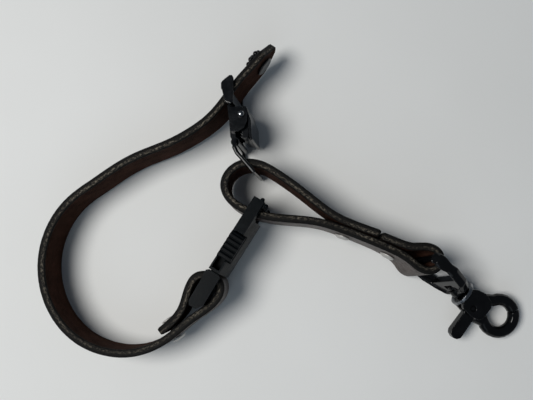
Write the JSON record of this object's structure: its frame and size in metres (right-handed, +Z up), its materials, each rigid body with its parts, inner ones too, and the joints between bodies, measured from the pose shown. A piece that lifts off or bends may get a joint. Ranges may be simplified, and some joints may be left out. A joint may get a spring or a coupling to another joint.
{
  "type": "martingale",
  "caption": "Martingale collar of black-edged leather straps standing on edge, with a lever clasp and bail, a side-release buckle, rivets, a snap fastener and a swivel trigger snap",
  "frame": {"origin": "bottom centre of the bounding box, on the surface the straps stand on", "axes": "X along the longest side from the collar loop to the trigger snap, Y across in plan, Z up from the surface"},
  "size_m": [0.187, 0.1228, 0.0261],
  "materials": {
    "leather": "dark brown harness leather with black painted edges and a fuzzy flesh side",
    "rivet_steel": "plain bright domed rivet caps",
    "gunmetal": "polished black nickel plate",
    "bright_gunmetal": "polished grey nickel plate",
    "black_lacquer": "glossy black lacquer on cast metal",
    "black_plastic": "moulded black acetal with a satin face"
  },
  "bodies": {
    "root": {"collar_strap": "leather", "control_strap": "leather", "lap_rivet_cap": "rivet_steel", "lap_rivet_post": "rivet_steel", "loop_rivet_cap": "rivet_steel", "loop_rivet_post": "rivet_steel", "eye_rivet_cap": "rivet_steel", "eye_rivet_post": "rivet_steel", "tail_snap_disc": "gunmetal", "tail_snap_stud": "gunmetal", "buckle_socket": "black_plastic", "buckle_plug": "black_plastic", "clasp_base": "gunmetal", "clasp_strap_frame": "gunmetal", "clasp_pin": "bright_gunmetal"},
    "buckle_arm_top": {"buckle_arm_top": "black_plastic"},
    "buckle_arm_bottom": {"buckle_arm_bottom": "black_plastic"},
    "clasp_lever": {"clasp_lever": "gunmetal", "clasp_jaw": "gunmetal"},
    "clasp_bail": {"clasp_bail": "gunmetal"},
    "snap_eye": {"snap_eye": "black_lacquer"},
    "snap_body": {"snap_body": "black_lacquer", "snap_swivel_pin": "black_lacquer", "snap_swivel_ring": "bright_gunmetal", "snap_trigger_pin": "bright_gunmetal"},
    "snap_trigger": {"snap_trigger": "black_lacquer"}
  },
  "joints": [
    {"name": "arm_top_squeeze", "type": "hinge", "parent": "root", "child": "buckle_arm_top", "pos_m": [-0.02362, -0.02743, 0.02], "axis": [-0.8453, 0.5344, 0], "range_deg": [0, 7], "stiffness_Nm_per_rad": 0.4},
    {"name": "arm_bottom_squeeze", "type": "hinge", "parent": "root", "child": "buckle_arm_bottom", "pos_m": [-0.02362, -0.02743, 0.006], "axis": [0.8453, -0.5344, 0], "range_deg": [0, 7], "stiffness_Nm_per_rad": 0.4},
    {"name": "clasp_lever_swing", "type": "hinge", "parent": "root", "child": "clasp_lever", "pos_m": [-0.01382, 0.03025, 0.013], "axis": [-0.0958, 0, 0.9954], "range_deg": [0, 65]},
    {"name": "bail_swing", "type": "hinge", "parent": "root", "child": "clasp_bail", "pos_m": [-0.01641, 0.02005, 0.01275], "axis": [-0.0958, 0, 0.9954], "range_deg": [-26, 0]},
    {"name": "snap_eye_swing", "type": "hinge", "parent": "root", "child": "snap_eye", "pos_m": [0.05366, -0.02484, 0.01255], "axis": [0.3077, 0.0675, 0.9491], "range_deg": [-5, 6]},
    {"name": "snap_swivel", "type": "hinge", "parent": "snap_eye", "child": "snap_body", "pos_m": [0.06818, -0.03611, 0.00864], "axis": [0.7729, -0.5995, -0.2079], "continuous": true},
    {"name": "snap_trigger_swing", "type": "hinge", "parent": "snap_body", "child": "snap_trigger", "pos_m": [0.07305, -0.04292, 0.00694], "axis": [-0.1643, 0.1274, -0.9781], "range_deg": [0, 22], "stiffness_Nm_per_rad": 0.03, "springref_deg": -17.19}
  ],
  "couplings": [
    {"joint": "arm_bottom_squeeze", "follows": "arm_top_squeeze", "ratio": 1}
  ]
}
